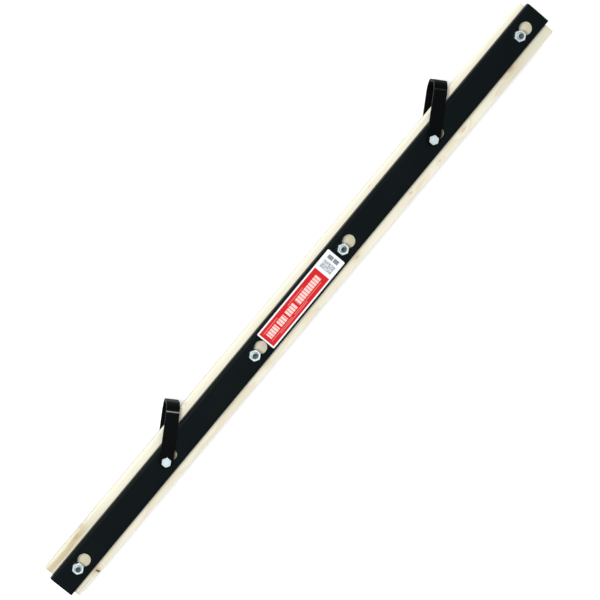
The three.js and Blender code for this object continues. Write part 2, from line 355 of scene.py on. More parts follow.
def plating(settings):
    """Bright zinc plate: bluish, softly clouded, with fine drawing lines, dull flecks, and dark bolt ends
    that are partly bare cut steel and partly painted shade; painted shade also darkens the ends' cups and
    the middles of the bail bolt heads.
    """
    shade = Shade("bright_zinc")
    place = shade.place()
    cloud = shade.noise(place, 0.22, detail=4)
    fleck = shade.noise(place, 1.7, detail=5, rough=0.7).ramp(0.62, 0.78)
    grain = shade.noise(place, (0.6, 0.6, 4.0))
    edge = shade.attribute("edge")
    cut_end_and_shade = shade.attribute("cut_end_and_shade")
    return shade.finish(
        Base_Color=shade.layer(
            settings.zinc,
            (cloud.ramp(0.45, 0.8) * 0.35, (0.76, 0.76, 0.68)),
            (fleck * 0.40, (0.45, 0.47, 0.48)),
            (edge * 0.35, (0.90, 0.93, 0.93)),
            # Dark bolt ends, partly bare cut steel and partly painted shade; the cups in the ends and the
            # bail bolt heads' middles are painted shade.
            (cut_end_and_shade * (0.86 + cloud * 0.20), (0.020, 0.032, 0.032)),
        ),
        Metallic=1 - cut_end_and_shade * 0.55,
        Roughness=0.30 + cloud * 0.16 + fleck * 0.14 + cut_end_and_shade * 0.15,
        Normal=shade.bump(grain * 0.5 + fleck * 0.3, 0.04 * MM, 0.5),
    )


# Marks in the board's front face: along, across, half length, half width, in millimetres, and strength
KNOTS = (
    (-552, -31, 5, 7, 0.32),
    (114, -30, 5.0, 2.6, 0.50),
    (251, -31, 4.0, 2.2, 0.42),
    (322, -34, 4.0, 2.4, 0.45),
    (386, -31, 7.0, 3.0, 0.30),
    (512, -27, 10, 6, 0.48),
    (-532, 32, 9, 3.5, 0.42),
    (-512, 36, 6, 3, 0.30),
    (-250, 33, 4, 2, 0.22),
    (215, 30, 5, 2, 0.20),
)
# The crack's place along the board, and the middle of the growth rings, in millimetres
CRACK_X = -554
PITH_Y, PITH_Z = -38, -62


def pine(settings):
    """Planed pine: growth rings round a distant pith, fibres, resin flecks, knots and end checks; painted
    light on the +Y strip and in the keyholes, and painted shade at the +X end of the -Y strip and along the
    lower side faces.
    """
    shade = Shade("planed_pine")
    place = shade.place()
    x, y, z = shade.split(place)
    slow = shade.noise(place, (0.0035, 0.014, 0.02))
    swirl = shade.noise(place, (0.02, 0.06, 0.06), detail=4)
    knot_mask = shade.number(0.0)
    knot_push = shade.number(0.0)
    for along, across, half_long, half_wide, strength in KNOTS:
        aside = (x - along) / half_long
        over = (y - across) / half_wide
        reach = (aside * aside + over * over).math("SQRT") + (swirl - 0.5) * 0.9
        knot_mask = knot_mask.math("MAXIMUM", reach.ramp(1.15, 0.35) * strength)
        knot_push = knot_push + reach.ramp(3.6, 0.4) * (half_wide * 1.3)
    pith_y = y - PITH_Y - x * 0.012
    pith_z = z - PITH_Z
    radius = (pith_y * pith_y + pith_z * pith_z).math("SQRT") + slow * 26 + swirl * 2.4 + knot_push
    turn = (radius / (settings.ring_spacing / MM)).math("FRACT")
    late = turn.ramp(0.35, 0.93) * turn.ramp(1.0, 0.95)
    fibre = shade.noise(place, (0.03, 2.6, 2.6), detail=4, rough=0.65)
    streak = shade.noise(place, (0.006, 0.5, 0.5))
    blotch = shade.noise(place, 0.012)
    pore = shade.noise(place, (0.10, 3.5, 3.5), detail=2).ramp(0.70, 0.80)
    heart = abs(y - 30 - (swirl - 0.5) * 9).ramp(6.5, 2.0) * x.ramp(-490, -530)
    lit = y.ramp(20, 24) * x.ramp(-500, -440)
    # Painted light: the wood under the channels, seen only through the keyholes, is made paler and yellower
    # to stand in for the light the deep holes keep out.
    painted_keyhole_light = abs(y).ramp(21, 18)
    # Painted shade: the +X end of the board's -Y strip is greyed, where less light falls.
    painted_falloff_shade = (-y).ramp(22, 26) * x.ramp(420, 520)
    knot_ring = abs((knot_mask * 5).math("FRACT") - 0.5).ramp(0.1, 0.5)
    knot_colour = shade.mix(knot_ring * 0.6, settings.knot, (0.42, 0.24, 0.10))
    end_depth = settings.length / MM / 2 - abs(x + y * settings.skew)
    # Darker within a few millimetres of each end of the board.
    darker_near_ends = (end_depth + swirl * 5).ramp(7.0, 1.5)
    lengthwise = abs(y + 30.5 + (swirl - 0.5) * 3).ramp(0.6, 0.1) * x.ramp(-548, -560) * 0.5
    lean = x - CRACK_X + (y + 30) * 0.30 + (swirl - 0.5) * 2.5
    crossing = abs(lean).ramp(2.4, 1.2) * (-y).ramp(27, 30)
    split = lengthwise.math("MAXIMUM", crossing)
    # Painted shade: the lower part of the board's long side faces is darkened nearly to black, as if in
    # shadow.
    lower = (z + swirl * 2).ramp(-2, -5) * abs(y - settings.shift / MM).ramp(33, 35)
    wood = shade.layer(
        settings.early_wood,
        (streak.ramp(0.35, 0.75) * 0.5, (0.73, 0.67, 0.50)),
        (blotch.ramp(0.5, 0.75) * 0.30, (0.66, 0.58, 0.42)),
        (late * (0.22 + fibre * 0.30), settings.late_wood),
        (fibre.ramp(0.55, 0.8) * 0.22, (0.54, 0.42, 0.24)),
        (pore * 0.30, (0.42, 0.29, 0.14)),
        (heart * (0.35 + streak * 0.5), (0.50, 0.38, 0.18)),
        (lit * (0.30 + streak * 0.3), (0.95, 0.92, 0.76)),
        (painted_keyhole_light * (0.35 + streak * 0.4), (0.98, 0.90, 0.64)),
        (painted_falloff_shade * 0.45, (0.50, 0.48, 0.34)),
        (knot_mask * 0.85, knot_colour),
        (knot_push.ramp(1.2, 7.0) * 0.22, (0.54, 0.37, 0.19)),
        (darker_near_ends * 0.40, (0.46, 0.38, 0.25)),
        (split * 0.90, (0.040, 0.028, 0.012)),
        (lower * 0.90, (0.10, 0.10, 0.085)),
    )
    rasp = shade.noise(place, (1.4, 0.18, 0.18), detail=2)
    height = fibre * 0.6 + late * 0.35 + rasp * 0.25 - pore * 0.5 - split * 6 - knot_mask * 0.3
    return shade.finish(
        Base_Color=wood,
        Roughness=0.66 - knot_mask * 0.18 - late * 0.08 + fibre * 0.1,
        Normal=shade.bump(height, 0.12 * MM, 0.6),
        Specular_IOR_Level=0.3,
    )


def patch(x, y, centre_x, centre_y, half_x, half_y):
    """A filled rectangle as a mask, with soft edges."""
    soft = 0.12
    inside_x = abs(x - centre_x).ramp(half_x + soft, half_x - soft)
    return inside_x * abs(y - centre_y).ramp(half_y + soft, half_y - soft)


def bars(along, low, high, pitch, share):
    """Even bars along an axis, from low to high, each filling share of pitch."""
    turn = ((along - low) / pitch).math("FRACT")
    inside = along.ramp(low - 0.05, low + 0.05) * along.ramp(high + 0.05, high - 0.05)
    return turn.ramp(share + 0.03, share - 0.03) * inside


# How far the bars reach along the label before the red field trims them, in millimetres
LABEL_REACH = 200

# Plain bars on the label's red field: start and end along it, middle across it, half width, in millimetres
TITLE_BARS = ((7, 29.5, 0.8, 5.9), (33, 50, 0.8, 5.9), (53.5, 75.5, 0.8, 5.9), (79.5, 135, 0.8, 5.9))
FINE_BARS = (
    (5, 40, 9.9, 0.7), (66, 104, 9.7, 0.6), (5, 56, -8.2, 0.6), (62, 130, -8.2, 0.6), (24, 92, -10.8, 0.6),
)


def bar_rows(x, y, left, rows, pitch, share):
    """Rows of even bars, each row from start to end along the label."""
    filled = x.shade.number(0.0)
    for start, stop, across, half in rows:
        row = patch(x, y, left + (start + stop) / 2, across, (stop - start) / 2, half)
        filled = filled.math("MAXIMUM", row)
    return filled * bars(x, left, left + LABEL_REACH, pitch, share)


def print_film(settings):
    """White film printed with a red field, plain pale bars on it, and a panel of grey and black bars."""
    shade = Shade("printed_film")
    place = shade.place()
    x, y, _ = shade.split(place)
    low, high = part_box("label")
    left, right = low.x / MM, high.x / MM
    half_width = (high.y - low.y) / 2 / MM
    border = settings.border / MM
    red_left, red_right = left + border, right - settings.panel / MM
    red = patch(x, y, (red_left + red_right) / 2, 0, (red_right - red_left) / 2, half_width - border)
    uneven = shade.noise(place, (0.5, 0.28, 0.0))
    title = bar_rows(x, y, red_left, TITLE_BARS, 5.4, 0.80) * red
    fine = bar_rows(x, y, red_left, FINE_BARS, 2.1, 0.66) * red
    speckle = shade.noise(place, (0.30, 0.45, 0.0), detail=2).ramp(0.42, 0.58)
    grey = patch(x, y, right - 23.5, 0, 7.5, 11.8) * (0.30 + speckle * 0.55)
    black = patch(x, y, right - 8.5, 6.0, 3.6, 5.0).math("MAXIMUM", patch(x, y, right - 8.5, -5.6, 3.6, 5.0))
    black = black * bars(y, -12.0, 12.0, 1.6, 0.78)
    scuff = shade.noise(place, 0.5, detail=6, rough=0.75).ramp(0.66, 0.80)
    fade = shade.noise(place, 0.03)
    ink = shade.mix(fade.ramp(0.4, 0.8) * 0.35, settings.red, (0.56, 0.020, 0.028))
    colour = shade.layer(
        settings.white,
        (red, ink),
        (title * (0.60 + uneven * 0.50), (0.82, 0.62, 0.58)),
        (fine * 0.60, (0.72, 0.42, 0.38)),
        (grey * 0.90, (0.16, 0.18, 0.22)),
        (black * 0.95, (0.025, 0.025, 0.035)),
        (scuff * 0.20, (0.62, 0.61, 0.60)),
    )
    crinkle = shade.noise(place, 0.18)
    height = crinkle * 1.2 + red * 0.25 + title * 0.2 + scuff * 0.3
    return shade.finish(
        Base_Color=colour,
        Roughness=0.40 + scuff * 0.25 + fade * 0.08,
        Normal=shade.bump(height, 0.08 * MM, 0.5),
        Coat_Weight=0.05 - scuff * 0.04,
        Coat_Roughness=0.25,
        Specular_IOR_Level=0.15,
    )


FLOOR_GLOW = 0.36


def stage_finish(colour):
    """Matt pale floor with the faintest mottle."""
    shade = Shade("pale_floor")
    mottle = shade.noise(shade.place(), 0.004)
    slightly_darker = tuple(0.97 * part for part in colour)
    return shade.finish(
        Base_Color=shade.mix(mottle, colour, slightly_darker),
        Roughness=0.85,
        Emission_Color=(1.0, 1.0, 1.0),
        Emission_Strength=FLOOR_GLOW,
    )


# -------- mesh helpers

def skin(rings, closed=False):
    """A mesh over rings of points, all of one length. A ring of a single point closes its end."""
    bm = bmesh.new()
    made = [[bm.verts.new(point) for point in ring] for ring in rings]
    pairs = list(zip(made, made[1:]))
    if closed:
        pairs.append((made[-1], made[0]))
    for lower, upper in pairs:
        bridge(bm, lower, upper)
    for ring in () if closed else (made[0], made[-1]):
        if len(ring) > 2:
            bm.faces.new(ring)
    bmesh.ops.recalc_face_normals(bm, faces=bm.faces)
    return bm


def bridge(bm, lower, upper):
    """Faces between two rings; either may be a single point."""
    count = max(len(lower), len(upper))
    for i in range(count):
        j = (i + 1) % count
        corners = [ring[k % len(ring)] for ring, k in ((lower, i), (lower, j), (upper, j), (upper, i))]
        bm.faces.new(list(dict.fromkeys(corners)))


def turned(stations, sides, closed=False):
    """A mesh round the Z axis. A station is (radius, height), each a number or a function of the angle."""
    rings = []
    for radius, height in stations:
        if radius == 0:
            rings.append([Vector((0, 0, height))])
            continue
        ring = []
        for i in range(sides):
            angle = math.tau * i / sides
            out = radius(angle) if callable(radius) else radius
            up = height(angle) if callable(height) else height
            ring.append(Vector((out * math.cos(angle), out * math.sin(angle), up)))
        rings.append(ring)
    return skin(rings, closed=closed)


def arc(centre_x, centre_y, radius, start, stop, steps):
    """Points on an arc, both ends included; angles in degrees."""
    points = []
    for i in range(steps + 1):
        angle = math.radians(start + (stop - start) * i / steps)
        points.append((centre_x + radius * math.cos(angle), centre_y + radius * math.sin(angle)))
    return points


def rounded_corners(half_x, half_y, corner, steps):
    """Outline of a rectangle with rounded corners."""
    outline = []
    for turn, (sx, sy) in zip((0, 90, 180, 270), ((1, 1), (-1, 1), (-1, -1), (1, -1))):
        outline += arc(sx * (half_x - corner), sy * (half_y - corner), corner, turn, turn + 90, steps)
    return outline


def prism(outline, low, high):
    """A closed solid of a flat outline in XY, from one height to another."""
    return skin([[Vector((x, y, z)) for x, y in outline] for z in (low, high)])


def add_object(name, data):
    made = bpy.data.objects.new(name, data)
    bpy.context.scene.collection.objects.link(made)
    return made


def object_of(name, bm):
    """An object of a finished bmesh, which is freed."""
    mesh = bpy.data.meshes.new(name)
    bm.to_mesh(mesh)
    bm.free()
    return add_object(name, mesh)


def settle(piece):
    """Applies a piece's modifiers, so that its mesh is the finished one."""
    bpy.context.view_layer.update()
    graph = bpy.context.evaluated_depsgraph_get()
    finished = bpy.data.meshes.new_from_object(piece.evaluated_get(graph))
    piece.modifiers.clear()
    raw = piece.data
    piece.data = finished
    bpy.data.meshes.remove(raw)


def carve(piece, cutters, operation="DIFFERENCE"):
    """Cuts a piece with solids, which are used up."""
    for i, bm in enumerate(cutters):
        tool = object_of(f"{piece.name}_cutter_{i}", bm)
        cut = piece.modifiers.new("cut", "BOOLEAN")
        cut.object = tool
        cut.operation = operation
        cut.solver = "EXACT"
        settle(piece)
        mesh = tool.data
        bpy.data.objects.remove(tool)
        bpy.data.meshes.remove(mesh)


def soften(piece, width, angle=40, segments=4):
    """Rounds every edge sharper than angle, and marks the middle of each rounding for the finish to wear."""
    bm = bmesh.new()
    bm.from_mesh(piece.data)
    limit = math.radians(angle)
    joined = [edge for edge in bm.edges if len(edge.link_faces) == 2]
    sharp = [edge for edge in joined if abs(edge.calc_face_angle_signed(0)) > limit]
    made = bmesh.ops.bevel(
        bm, geom=sharp, offset=width, offset_type="OFFSET", segments=segments, profile=0.5,
        affect="EDGES", clamp_overlap=True)
    rounding = set(made["faces"])
    worn = [float(all(face in rounding for face in vert.link_faces)) for vert in bm.verts]
    bm.to_mesh(piece.data)
    bm.free()
    store(piece.data, "edge", worn)


def mark_edges(mesh):
    """Stores how much each point stands on an outer edge, from 0 to 1, for the finishes to wear."""
    bm = bmesh.new()
    bm.from_mesh(mesh)
    bm.normal_update()
    full_turn = math.radians(45)
    wear = []
    for vert in bm.verts:
        turns = [e.calc_face_angle_signed(0) for e in vert.link_edges if len(e.link_faces) == 2]
        wear.append(max(0, min(1, max(turns, default=0) / full_turn)))
    bm.free()
    store(mesh, "edge", wear)


def store(mesh, name, amounts):
    """Keeps one number a point on a mesh, for its finish to read."""
    kept = mesh.attributes.new(name, "FLOAT", "POINT")
    kept.data.foreach_set("value", amounts)


def mark_end_and_shade(mesh, end_z):
    """Marks a bolt's end for darkening: the bare cut end within reach of end_z, partly painted shade, and
    the cup sunk deep into it, wholly painted shade.
    """
    reach, deep = 0.35 * MM, 2 * MM
    inner = min(point.co.xy.length for point in mesh.vertices if abs(point.co.z - end_z) < reach)
    amounts = []
    for point in mesh.vertices:
        off = abs(point.co.z - end_z)
        in_cup = off < deep and point.co.xy.length < inner - 0.01 * MM
        amounts.append(1.0 if off < reach or in_cup else 0.0)
    store(mesh, "cut_end_and_shade", amounts)


def shade_head_middle(mesh, top_z):
    """Darkens the middle of a bolt head's top face as painted shade, standing in for a dark reflection."""
    radius, deep, amount = 6.4 * MM, 1 * MM, 0.20
    for point, mark in zip(mesh.vertices, mesh.attributes["cut_end_and_shade"].data):
        if top_z - point.co.z < deep and point.co.xy.length < radius:
            mark.value = amount


def mark_painted_glint(mesh, settings, height, amount):
    """Marks a painted glint: a line of bare steel across a bail's front bend that stands in for a highlight.
    """
    half = 0.75 * MM
    line = settings.reach + settings.gauge - settings.glint_reach
    marks = []
    for point in mesh.vertices:
        on_front = point.co.z > height - settings.gauge / 2
        marks.append(amount if on_front and abs(point.co.y - line) < half else 0.0)
    store(mesh, "bare", marks)


def place_piece(piece, material, node, smooth=32, at=None):
    """Moves a piece's mesh into place, shades it, and lets it stand for its node of the frame."""
    mesh = piece.data
    if at is not None:
        mesh.transform(at)
    if "edge" not in mesh.attributes:
        mark_edges(mesh)
    mesh.shade_smooth()
    mesh.set_sharp_from_angle(angle=math.radians(smooth))
    mesh.materials.clear()
    mesh.materials.append(material)
    flatter = piece.modifiers.new("flat_faces", "WEIGHTED_NORMAL")
    flatter.weight = 100
    flatter.keep_sharp = True
    settle(piece)
    body = next(name for name, nodes in frame["record"]["behaviour"]["bodies"].items() if node in nodes)
    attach(piece, body)
    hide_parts(node)


# -------- channels

def channel_outline(settings):
    """Section of a channel across the bar: outer face on 0, flanges reaching down."""
    half = CHANNEL_WIDTH / 2
    inner = half - settings.gauge
    bend = settings.bend
    inner_bend = bend - settings.gauge
    steps = 10
    outline = arc(half - bend, -bend, bend, 90, 0, steps)
    outline += [(half, -CHANNEL_DEPTH), (inner, -CHANNEL_DEPTH)]
    outline += arc(half - bend, -bend, inner_bend, 0, 90, steps)
    outline += arc(bend - half, -bend, inner_bend, 90, 180, steps)
    outline += [(-inner, -CHANNEL_DEPTH), (-half, -CHANNEL_DEPTH)]
    outline += arc(bend - half, -bend, bend, 180, 90, steps)
    return outline


def channel_blank(settings, length):
    """A plain length of channel along X, outer face up on z = 0."""
    outline = channel_outline(settings)
    return skin([[Vector((x, y, z)) for y, z in outline] for x in (-length / 2, length / 2)])


def keyhole(x, width, round_end, travel, depth):
    """The punch for one keyhole: a slot from the bolt at x to a round hole farther along the bar."""
    half = width / 2
    radius = round_end / 2
    meet = math.degrees(math.asin(half / radius))
    outline = arc(x, 0, half, 270, 90, 18)
    outline += arc(x + travel, 0, radius, 180 - meet, meet - 180, 60)
    return prism(outline, -3 * depth, depth)


def square_hole(x, side, depth):
    """The punch for a carriage bolt's square neck."""
    outline = rounded_corners(side / 2, side / 2, 0.8 * MM, 4)
    return prism([(x + across, y) for across, y in outline], -3 * depth, depth)


def round_hole(x, diameter, depth):
    """A round drill from well below z = 0 to well above."""
    radius = diameter / 2
    bm = turned([(0, -depth), (radius, -depth), (radius, depth), (0, depth)], 48)
    bmesh.ops.translate(bm, verts=bm.verts, vec=(x, 0, 0))
    return bm


class STRETCHER_OT_channels(bpy.types.Operator):
    """Build the keyholed front channel and the rear channel"""
    bl_idname = "stretcher.channels"
    bl_label = "Channels"

    def execute(self, context):
        settings = context.scene.stretcher_channel
        front = object_of("front_channel_steel", channel_blank(settings, FRONT_LENGTH))
        clamp = (settings.slot_width, settings.slot_round, settings.slot_travel, settings.gauge)
        bail = (settings.bail_width, settings.bail_round, settings.bail_travel, settings.gauge)
        carve(front, [keyhole(x, *clamp) for x in CLAMP_X] + [keyhole(x, *bail) for x in BAIL_X])
        soften(front, settings.edge)
        paint = enamel("channel_enamel", settings.paint, gloss=0.36, sheen=0.05, chips=0.30, seed=17)
        up = Matrix.Translation((0, 0, FRONT_FACE_Z))
        place_piece(front, paint, "front_channel", at=up)

        rear = object_of("rear_channel_steel", channel_blank(settings, REAR_LENGTH))
        carve(rear, [square_hole(x, settings.neck_hole, settings.gauge) for x in CLAMP_X])
        carve(rear, [round_hole(x, settings.bail_width, 3 * settings.gauge) for x in BAIL_X])
        soften(rear, settings.edge)
        down = Matrix.Translation((0, 0, REAR_LOW.z)) @ Matrix.Rotation(math.pi, 4, "X")
        place_piece(rear, paint, "rear_channel", at=down)
        return {"FINISHED"}


# -------- jaw board

def board_section(half_wide, half_thick, eased):
    """Section of the board across the bar: a rectangle with eased corners and points along its faces."""
    across = 30
    upright = 6
    points = []
    sides = (
        ((1, 1), (-1, 1), across, 90),
        ((-1, 1), (-1, -1), upright, 180),
        ((-1, -1), (1, -1), across, 270),
        ((1, -1), (1, 1), upright, 360),
    )
    flat_wide, flat_thick = half_wide - eased, half_thick - eased
    for (from_y, from_z), (to_y, to_z), steps, turn in sides:
        start = Vector((from_y * flat_wide, from_z * flat_thick))
        stop = Vector((to_y * flat_wide, to_z * flat_thick))
        out = Vector((math.cos(math.radians(turn)), math.sin(math.radians(turn)))) * eased
        for i in range(steps):
            points.append(start.lerp(stop, i / steps) + out)
        points += [Vector(p) for p in arc(stop.x, stop.y, eased, turn, turn + 90, 3)[:-1]]
    return points


def board_blank(settings):
    """The board before drilling: planed faces that are very slightly uneven, ends eased."""
    half_long = settings.length / 2
    half_wide = settings.width / 2
    half_thick = BOARD_THICK / 2
    rings = []
    steps = 220
    ease = 1.0 * MM
    stations = [(-half_long, ease), (-half_long + ease, 0)]
    stations += [(-half_long + ease + (2 * half_long - 2 * ease) * i / steps, 0) for i in range(1, steps)]
    stations += [(half_long - ease, 0), (half_long, ease)]
    for x, inset in stations:
        ring = []
        for y, z in board_section(half_wide - inset, half_thick - inset, settings.eased):
            uneven = abs(noise.noise(Vector((x * 9, y * 60, z * 60)))) * 0.25 * MM
            planer = abs(noise.noise(Vector((x * 60, y * 20, z * 200)))) * 0.08 * MM
            shrink_y = 1 - (uneven + planer) / half_wide
            shrink_z = 1 - (uneven + planer) / half_thick
            ring.append(Vector((x, y * shrink_y, z * shrink_z)))
        rings.append(ring)
    return skin(rings)


class STRETCHER_OT_board(bpy.types.Operator):
    """Build the pine jaw board"""
    bl_idname = "stretcher.board"
    bl_label = "Jaw board"

    def execute(self, context):
        settings = context.scene.stretcher_board
        channel = context.scene.stretcher_channel
        board = object_of("jaw_board_pine", board_blank(settings))
        askew = Matrix.Rotation(settings.skew, 4, "Z")
        board.data.transform(Matrix.Translation((0, settings.shift, 0)) @ askew)
        carve(board, [round_hole(x, channel.slot_width, BOARD_THICK) for x in CLAMP_X])
        carve(board, [round_hole(x, channel.bail_width, BOARD_THICK) for x in BAIL_X])
        place_piece(board, pine(settings), "jaw_board", smooth=40)
        return {"FINISHED"}


# -------- label

def rounded_ring(half_x, half_y, corner, z):
    """Points of a rounded rectangle at height z."""
    return [Vector((x, y, z)) for x, y in rounded_corners(half_x, half_y, corner, 6)]


class STRETCHER_OT_label(bpy.types.Operator):
    """Build the printed film label"""
    bl_idname = "stretcher.label"
    bl_label = "Label"

    def execute(self, context):
        settings = context.scene.stretcher_label
        low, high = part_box("label")
        half_x, half_y = (high.x - low.x) / 2, (high.y - low.y) / 2
        base = FRONT_FACE_Z + 0.02 * MM
        top = base + settings.film
        fine = 0.05 * MM
        rings = [
            rounded_ring(half_x - 4 * MM, half_y - 4 * MM, settings.corner / 2, base),
            rounded_ring(half_x, half_y, settings.corner, base),
            rounded_ring(half_x, half_y, settings.corner, top - fine),
            rounded_ring(half_x - fine, half_y - fine, settings.corner, top),
            rounded_ring(half_x - 2 * MM, half_y - 2 * MM, settings.corner, top + fine),
            rounded_ring(half_x - 8 * MM, half_y - 8 * MM, settings.corner, top + fine),
        ]
        film = object_of("label_film", skin(rings))
        film.data.transform(Matrix.Translation(((low.x + high.x) / 2, 0, 0)))
        place_piece(film, print_film(settings), "label", smooth=60)
        return {"FINISHED"}


# -------- bolts, nuts and washers

def hex_reach(flats):
    """Distance from a hexagon's middle to its side by the angle. Two of its corners point across the bar."""
    def reach(angle):
        off = (angle + math.pi / 6) % (math.pi / 3) - math.pi / 6
        return flats / 2 / math.cos(off)
    return reach


def chamfer_drop(flats, crown):
    """How far below the face a 30 degree chamfer from the circle crown meets each point of the sides."""
    reach = hex_reach(flats)

    def drop(angle):
        return max(0, reach(angle) - crown) * math.tan(math.radians(30))
    return drop


def hex_stations(flats, low, high, crown_share=0.95):
    """Stations up the outside of a chamfered hexagon, from its lower face to its upper face."""
    reach = hex_reach(flats)
    crown = flats / 2 * crown_share
    drop = chamfer_drop(flats, crown)
    return [
        (crown, low),
        (reach, lambda angle: low + drop(angle)),
        (reach, lambda angle: high - drop(angle)),
        (crown, high),
    ]


def thread_stations(radius, pitch, low, high, depth):
    """Stations up a right-hand thread, eight to a turn; it runs out smoothly at both ends."""
    stations = []
    steps = math.ceil((high - low) / pitch * 8)
    for i in range(steps + 1):
        z = low + (high - low) * i / steps
        fade = min(1, (z - low) / (1.5 * pitch), (high - z) / (0.6 * pitch) + 0.35)

        def out(angle, z=z, fade=fade):
            turn = (z / pitch - angle / math.tau) % 1
            tooth = max(0, min(1, 2.6 * abs(turn - 0.5) - 0.15))
            return radius - depth * fade * (1 - tooth)
        stations.append((out, z))
    return stations


def cupped_end(radius, end, inward, depth=0.9 * MM):
    """Stations over the cup that thread rolling leaves in a bolt's end, from its rim to its middle."""
    stations = []
    steps = 5
    for i in range(steps):
        share = i / steps
        stations.append((radius * (1 - share), end + inward * depth * share * (2 - share)))
    return stations + [(0, end + inward * depth)]


def nut_mesh(flats, height, bore, sides):
    """A double-chamfered hex nut with a countersunk bore, standing on z = 0."""
    sink = 0.7 * MM
    stations = hex_stations(flats, 0, height)
    stations += [(bore + sink, height), (bore, height - sink), (bore, sink), (bore + sink, 0)]
    return turned(stations, sides, closed=True)


def square_reach(side, corner):
    """Distance from a rounded square's middle to its side, as a function of the angle."""
    def reach(angle):
        off = (angle + math.pi / 4) % (math.pi / 2) - math.pi / 4
        return min(side / 2 / math.cos(off), side / math.sqrt(2) - corner)
    return reach


def carriage_bolt_mesh(box, settings):
    """A carriage bolt: domed head down, square neck, plain shank, rolled thread and a pointed end."""
    low, high = box
    head_radius = (high.x - low.x) / 2
    shank = settings.clamp_shank
    seat = REAR_LOW.z - 0.05 * MM
    rim = 0.9 * MM
    dome = [(0, low.z)]
    dome_steps = 12
    for i in range(1, dome_steps + 1):
        angle = math.radians(90 * i / dome_steps)
        dome.append((head_radius * math.sin(angle), seat - rim - (seat - rim - low.z) * math.cos(angle)))
    neck = square_reach(11.1 * MM, 0.9 * MM)
    neck_top = seat + 6.5 * MM
    end = high.z
    point = 1.3 * MM
    stations = dome + [(head_radius, seat - 0.3 * MM), (head_radius - 0.3 * MM, seat), (neck, seat)]
    stations += [(neck, neck_top - 0.8 * MM), (shank, neck_top)]
    thread_low = end - settings.clamp_thread
    stations += thread_stations(shank, settings.clamp_pitch, thread_low, end - point, 0.95 * MM)
    stations += [(shank - 1.25 * MM, end)] + cupped_end(shank - 1.7 * MM, end, -1)
    return turned(stations, settings.facets)


class STRETCHER_OT_clamp_bolts(bpy.types.Operator):
    """Build the four carriage bolts that close the clamp"""
    bl_idname = "stretcher.clamp_bolts"
    bl_label = "Clamp bolts"

    def execute(self, context):
        settings = context.scene.stretcher_hardware
        for number in CLAMP_NUMBERS:
            node = f"clamp_bolt_{number}"
            bolt = object_of(f"{node}_threaded", carriage_bolt_mesh(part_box(node), settings))
            mark_end_and_shade(bolt.data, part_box(node)[1].z)
            at = Matrix.Translation((middle(node).x, 0, 0))
            place_zinc(context, bolt, node, 28, at)
        return {"FINISHED"}


class STRETCHER_OT_clamp_nuts(bpy.types.Operator):
    """Build the four clamp nuts"""
    bl_idname = "stretcher.clamp_nuts"
    bl_label = "Clamp nuts"

    def execute(self, context):
        settings = context.scene.stretcher_hardware
        for number in CLAMP_NUMBERS:
            node = f"clamp_nut_{number}"
            low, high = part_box(node)
            seat = low.z - 0.25 * MM
            hexagon = nut_mesh(high.x - low.x, high.z - seat, settings.clamp_bore, settings.facets)
            nut = object_of(f"{node}_hex", hexagon)
            soften(nut, 0.3 * MM, angle=34, segments=2)
            at = Matrix.Translation((middle(node).x, 0, seat))
            place_zinc(context, nut, node, 26, at)
        return {"FINISHED"}


def hex_bolt_mesh(box, head_low, settings):
    """A hex bolt, head up: chamfered head, plain shank, rolled thread and a pointed end."""
    low, high = box
    flats = high.x - low.x
    shank = settings.bail_shank
    reach = hex_reach(flats)
    crown = flats / 2 * 0.95
    drop = chamfer_drop(flats, crown)
    point = 1.1 * MM
    stations = cupped_end(shank - 1.5 * MM, low.z, 1)[::-1] + [(shank - 1.1 * MM, low.z)]
    thread_high = low.z + settings.bail_thread
    stations += thread_stations(shank, settings.bail_pitch, low.z + point, thread_high, 0.85 * MM)
    stations += [(shank, head_low), (flats / 2 * 0.93, head_low), (flats / 2 * 0.93, head_low + 0.3 * MM)]
    stations += [(reach, head_low + 0.35 * MM), (reach, lambda angle: high.z - drop(angle))]
    sunk = high.z - 0.45 * MM
    stations += [(crown, high.z), (crown * 0.90, high.z), (crown * 0.82, sunk), (0, sunk)]
    return turned(stations, settings.facets)


class STRETCHER_OT_bail_hardware(bpy.types.Operator):
    """Build the bail bolts with their washers and nuts"""
    bl_idname = "stretcher.bail_hardware"
    bl_label = "Bail bolts"

    def execute(self, context):
        settings = context.scene.stretcher_hardware
        for side in BAIL_SIDES:
            bolt_node, washer_node, nut_node = (f"bail_{part}_{side}" for part in ("bolt", "washer", "nut"))
            at = Matrix.Translation((middle(bolt_node).x, 0, 0))
            strap_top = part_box(f"bail_{side}")[1].z
            bolt = object_of(
                f"{bolt_node}_threaded", hex_bolt_mesh(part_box(bolt_node), strap_top + 0.05 * MM, settings))
            mark_end_and_shade(bolt.data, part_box(bolt_node)[0].z)
            shade_head_middle(bolt.data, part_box(bolt_node)[1].z)
            place_zinc(context, bolt, bolt_node, 28, at)

            low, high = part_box(washer_node)
            radius, rolled = (high.x - low.x) / 2, 0.35 * MM
            bore = settings.washer_bore
            stations = [
                (bore, low.z), (radius - rolled, low.z), (radius, low.z + rolled),
                (radius, high.z), (bore, high.z),
            ]
            washer = object_of(f"{washer_node}_flat", turned(stations, settings.facets, closed=True))
            place_zinc(context, washer, washer_node, 35, at)

            low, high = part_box(nut_node)
            hexagon = nut_mesh(high.x - low.x, high.z - low.z, settings.bail_bore, settings.facets)
            nut = object_of(f"{nut_node}_hex", hexagon)
            soften(nut, 0.3 * MM, angle=34, segments=2)
            place_zinc(context, nut, nut_node, 26, at @ Matrix.Translation((0, 0, low.z)))
        return {"FINISHED"}


def place_zinc(context, piece, node, smooth, at):
    """Places a piece in the one zinc finish that all the hardware shares."""
    zinc = bpy.data.materials.get("bright_zinc") or plating(context.scene.stretcher_hardware)
    place_piece(piece, zinc, node, smooth, at)


# -------- bails

